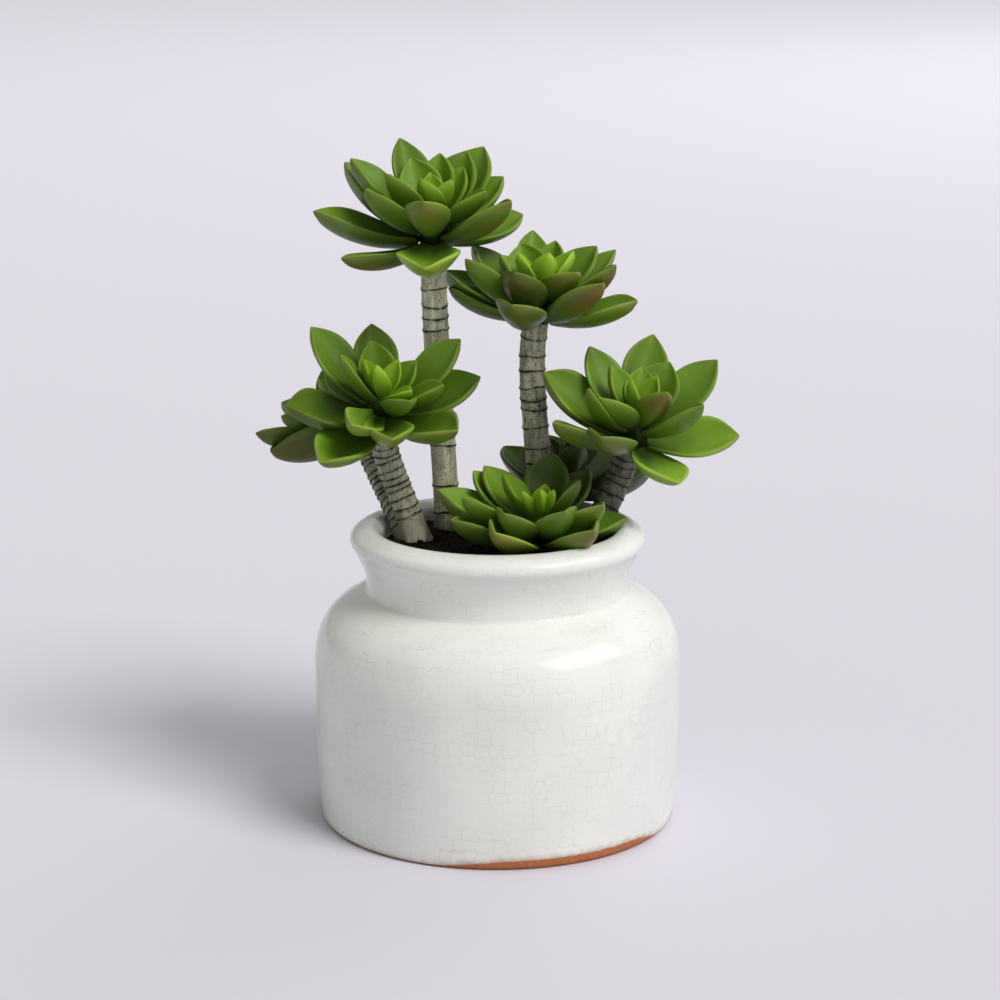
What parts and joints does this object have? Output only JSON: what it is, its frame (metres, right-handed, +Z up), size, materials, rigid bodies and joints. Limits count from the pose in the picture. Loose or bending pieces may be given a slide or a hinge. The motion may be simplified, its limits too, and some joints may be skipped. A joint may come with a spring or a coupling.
{
  "type": "potted succulent",
  "caption": "Potted succulent with leafy rosettes of spoon-shaped leaves on tall ringed stems, in a squat shouldered ceramic pot with a rolled rim.",
  "frame": {"origin": "centre of the pot's foot, on the plane that it stands on", "axes": "+Z up along the pot's axis, -Y towards the front of the plant"},
  "size_m": [0.1848, 0.14, 0.2568],
  "materials": {
    "pot": "gloss",
    "soil": "matte",
    "stem": "matte",
    "leaf": "satin"
  },
  "bodies": {
    "root": {"pot": "pot", "soil": "soil", "stem_top_left": "stem", "stem_top_right": "stem", "stem_right": "stem", "stem_low_front": "stem", "stem_low_back": "stem", "stem_fork_left": "stem", "rosette_top_left": "leaf", "rosette_top_right": "leaf", "rosette_left": "leaf", "rosette_left_back": "leaf", "rosette_right": "leaf", "rosette_low_front": "leaf", "rosette_low_back": "leaf"}
  },
  "joints": []
}
